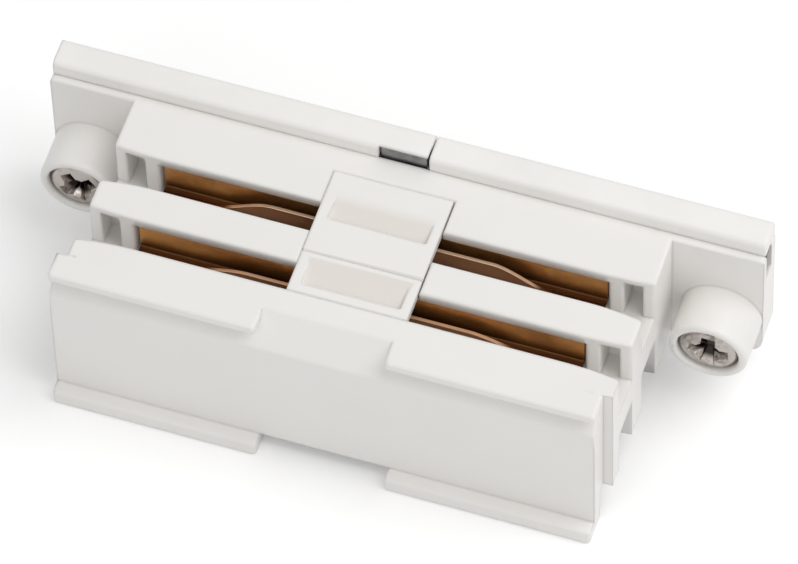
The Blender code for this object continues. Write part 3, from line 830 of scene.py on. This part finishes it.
def screwThread(name):
    shape = Shape(name, pitch=screwSizes["threadPitch"] * mm, turns=screwSizes["threadTurns"],
                  radius=screwSizes["coreRadius"] * mm, height=screwSizes["threadHeight"] * mm,
                  tip=screwSizes["tip"] * mm, start=screwSizes["threadStart"] * mm)
    helix = shape.add("GeometryNodeCurveSpiral", None, {
        "Resolution": screwSizes["threadSteps"], "Rotations": shape.value("turns"),
        "Start Radius": shape.value("radius"), "End Radius": shape.value("radius"),
        "Height": shape.value("pitch") * shape.value("turns"),
    })
    ridge = shape.add("GeometryNodeCurvePrimitiveCircle", {"mode": "RADIUS"},
                      {"Resolution": screwSizes["threadSides"], "Radius": shape.value("height")},
                      output="Curve")
    body = shape.add("GeometryNodeCurveToMesh", None,
                     {"Curve": helix, "Profile Curve": ridge, "Fill Caps": True})
    lift = shape.vector(z=shape.value("tip") + shape.value("start"))
    placed = shape.add("GeometryNodeTransform", None, {"Geometry": body, "Translation": lift})
    return smoothed(shape.made(placed, screwFinish), screwSizes["threadSharp"])


def joined(first, second):
    shape = bmesh.new()
    shape.from_mesh(first.data)
    shape.from_mesh(second.data)
    shape.to_mesh(first.data)
    shape.free()
    bpy.data.objects.remove(second)
    return first


def panScrew(node, name, body, along, turn):
    item = screwBlank(name)
    cutBy(item, bowlTool())
    cutBy(item, crossTool())
    cleaned(item)
    joined(item, screwThread(name + "Thread"))
    place = Vector((along, screwSizes["headUnder"], screwSizes["axisHeight"])) * mm
    tilt = Matrix.Rotation(math.pi / 2, 4, "X")
    spin = Matrix.Rotation(math.radians(turn), 4, "Y")
    item.data.transform(Matrix.Translation(place) @ spin @ tilt)
    smoothed(item, screwSizes["headSharp"])
    return dressed(item, screwFinish, body, "screw_nickel", node)


for node, (name, body, along, turn) in screwSizes["screws"].items():
    panScrew(node, name, body, along, turn)


# Floor, light and camera, lengths in metres

stageLook = {
    "size": 0.9,
    "drop": 0.00005,                    # how far the floor lies under the connector
    "floor": (0.93, 0.93, 0.93),
    "floorRoughness": 0.9,
    "shadowLift": 0.11,
    "world": 0.53,
}


def whiteFloor():
    bpy.ops.mesh.primitive_plane_add(size=stageLook["size"], location=(0, 0, -stageLook["drop"]))
    floor = bpy.context.object
    floor.name = "floor"
    look = Finish("floorWhite")
    shown = look.backgroundRay()
    look.set(Base_Color=look.blend(shown, stageLook["floor"], (1.0, 1.0, 1.0)),
             Roughness=stageLook["floorRoughness"], Specular_IOR_Level=0.0,
             Emission_Color=look.blend(shown, (0.0, 0.0, 0.0), (1.0, 1.0, 1.0)),
             Emission_Strength=stageLook["shadowLift"])
    floor.data.materials.append(look.material)


def studioWorld():
    world = bpy.data.worlds.new("studio")
    bpy.context.scene.world = world
    world.use_nodes = True
    sky = Graph(world.node_tree)
    shown = sky.add("ShaderNodeMix", {"data_type": "FLOAT"},
                    {"Factor": sky.backgroundRay(), "A": stageLook["world"], "B": 1.0}, output="Result")
    background = sky.tree.nodes["Background"]
    background.inputs["Color"].default_value = (1, 1, 1, 1)
    sky.feed(background.inputs["Strength"], shown)


softBoxes = {
    "overhead": {"place": (0.32, 0.04, 0.58), "size": 0.56, "watts": 2.0},
    "front": {"place": (-0.02, -0.32, 0.34), "size": 0.3, "watts": 0.2},
}


def softBox(name, setting):
    # a round lamp that faces the origin
    lamp = bpy.data.lights.new(name, "AREA")
    lamp.shape = "DISK"
    lamp.size = setting["size"]
    lamp.energy = setting["watts"]
    item = newObject(name, lamp)
    item.location = setting["place"]
    item.rotation_euler = (-Vector(setting["place"])).to_track_quat("-Z", "Y").to_euler()


cameraLook = {
    "azimuth": 20.09,                   # degrees round from straight in front, towards the right end
    "elevation": 55.82,
    "roll": -2.21,
    "distance": 0.7487,
    "lens": 353.06,                     # mm, on a sensor of the next value's width
    "sensor": 36.0,
    "clip": (0.05, 5.0),
    "target": (0.002195, 0.001045, 0.01375),
}


def photoCamera():
    azimuth, elevation, roll = (math.radians(cameraLook[key]) for key in ("azimuth", "elevation", "roll"))
    sight = Vector((-math.sin(azimuth) * math.cos(elevation),
                    math.cos(azimuth) * math.cos(elevation),
                    -math.sin(elevation)))
    right = Vector((math.cos(azimuth), math.sin(azimuth), 0))
    up = right.cross(sight)
    sideways = right * math.cos(roll) + up * math.sin(roll)
    upwards = up * math.cos(roll) - right * math.sin(roll)
    camera = bpy.data.cameras.new("photoCamera")
    camera.lens = cameraLook["lens"]
    camera.sensor_width = cameraLook["sensor"]
    camera.clip_start, camera.clip_end = cameraLook["clip"]
    item = newObject("photoCamera", camera)
    place = Vector(cameraLook["target"]) - sight * cameraLook["distance"]
    turn = Matrix((sideways, upwards, -sight)).transposed().to_4x4()
    item.matrix_world = Matrix.Translation(place) @ turn
    bpy.context.scene.camera = item


whiteFloor()
studioWorld()
for name, setting in softBoxes.items():
    softBox(name, setting)
photoCamera()
bpy.context.scene.view_settings.view_transform = "Standard"
print("stage ready")
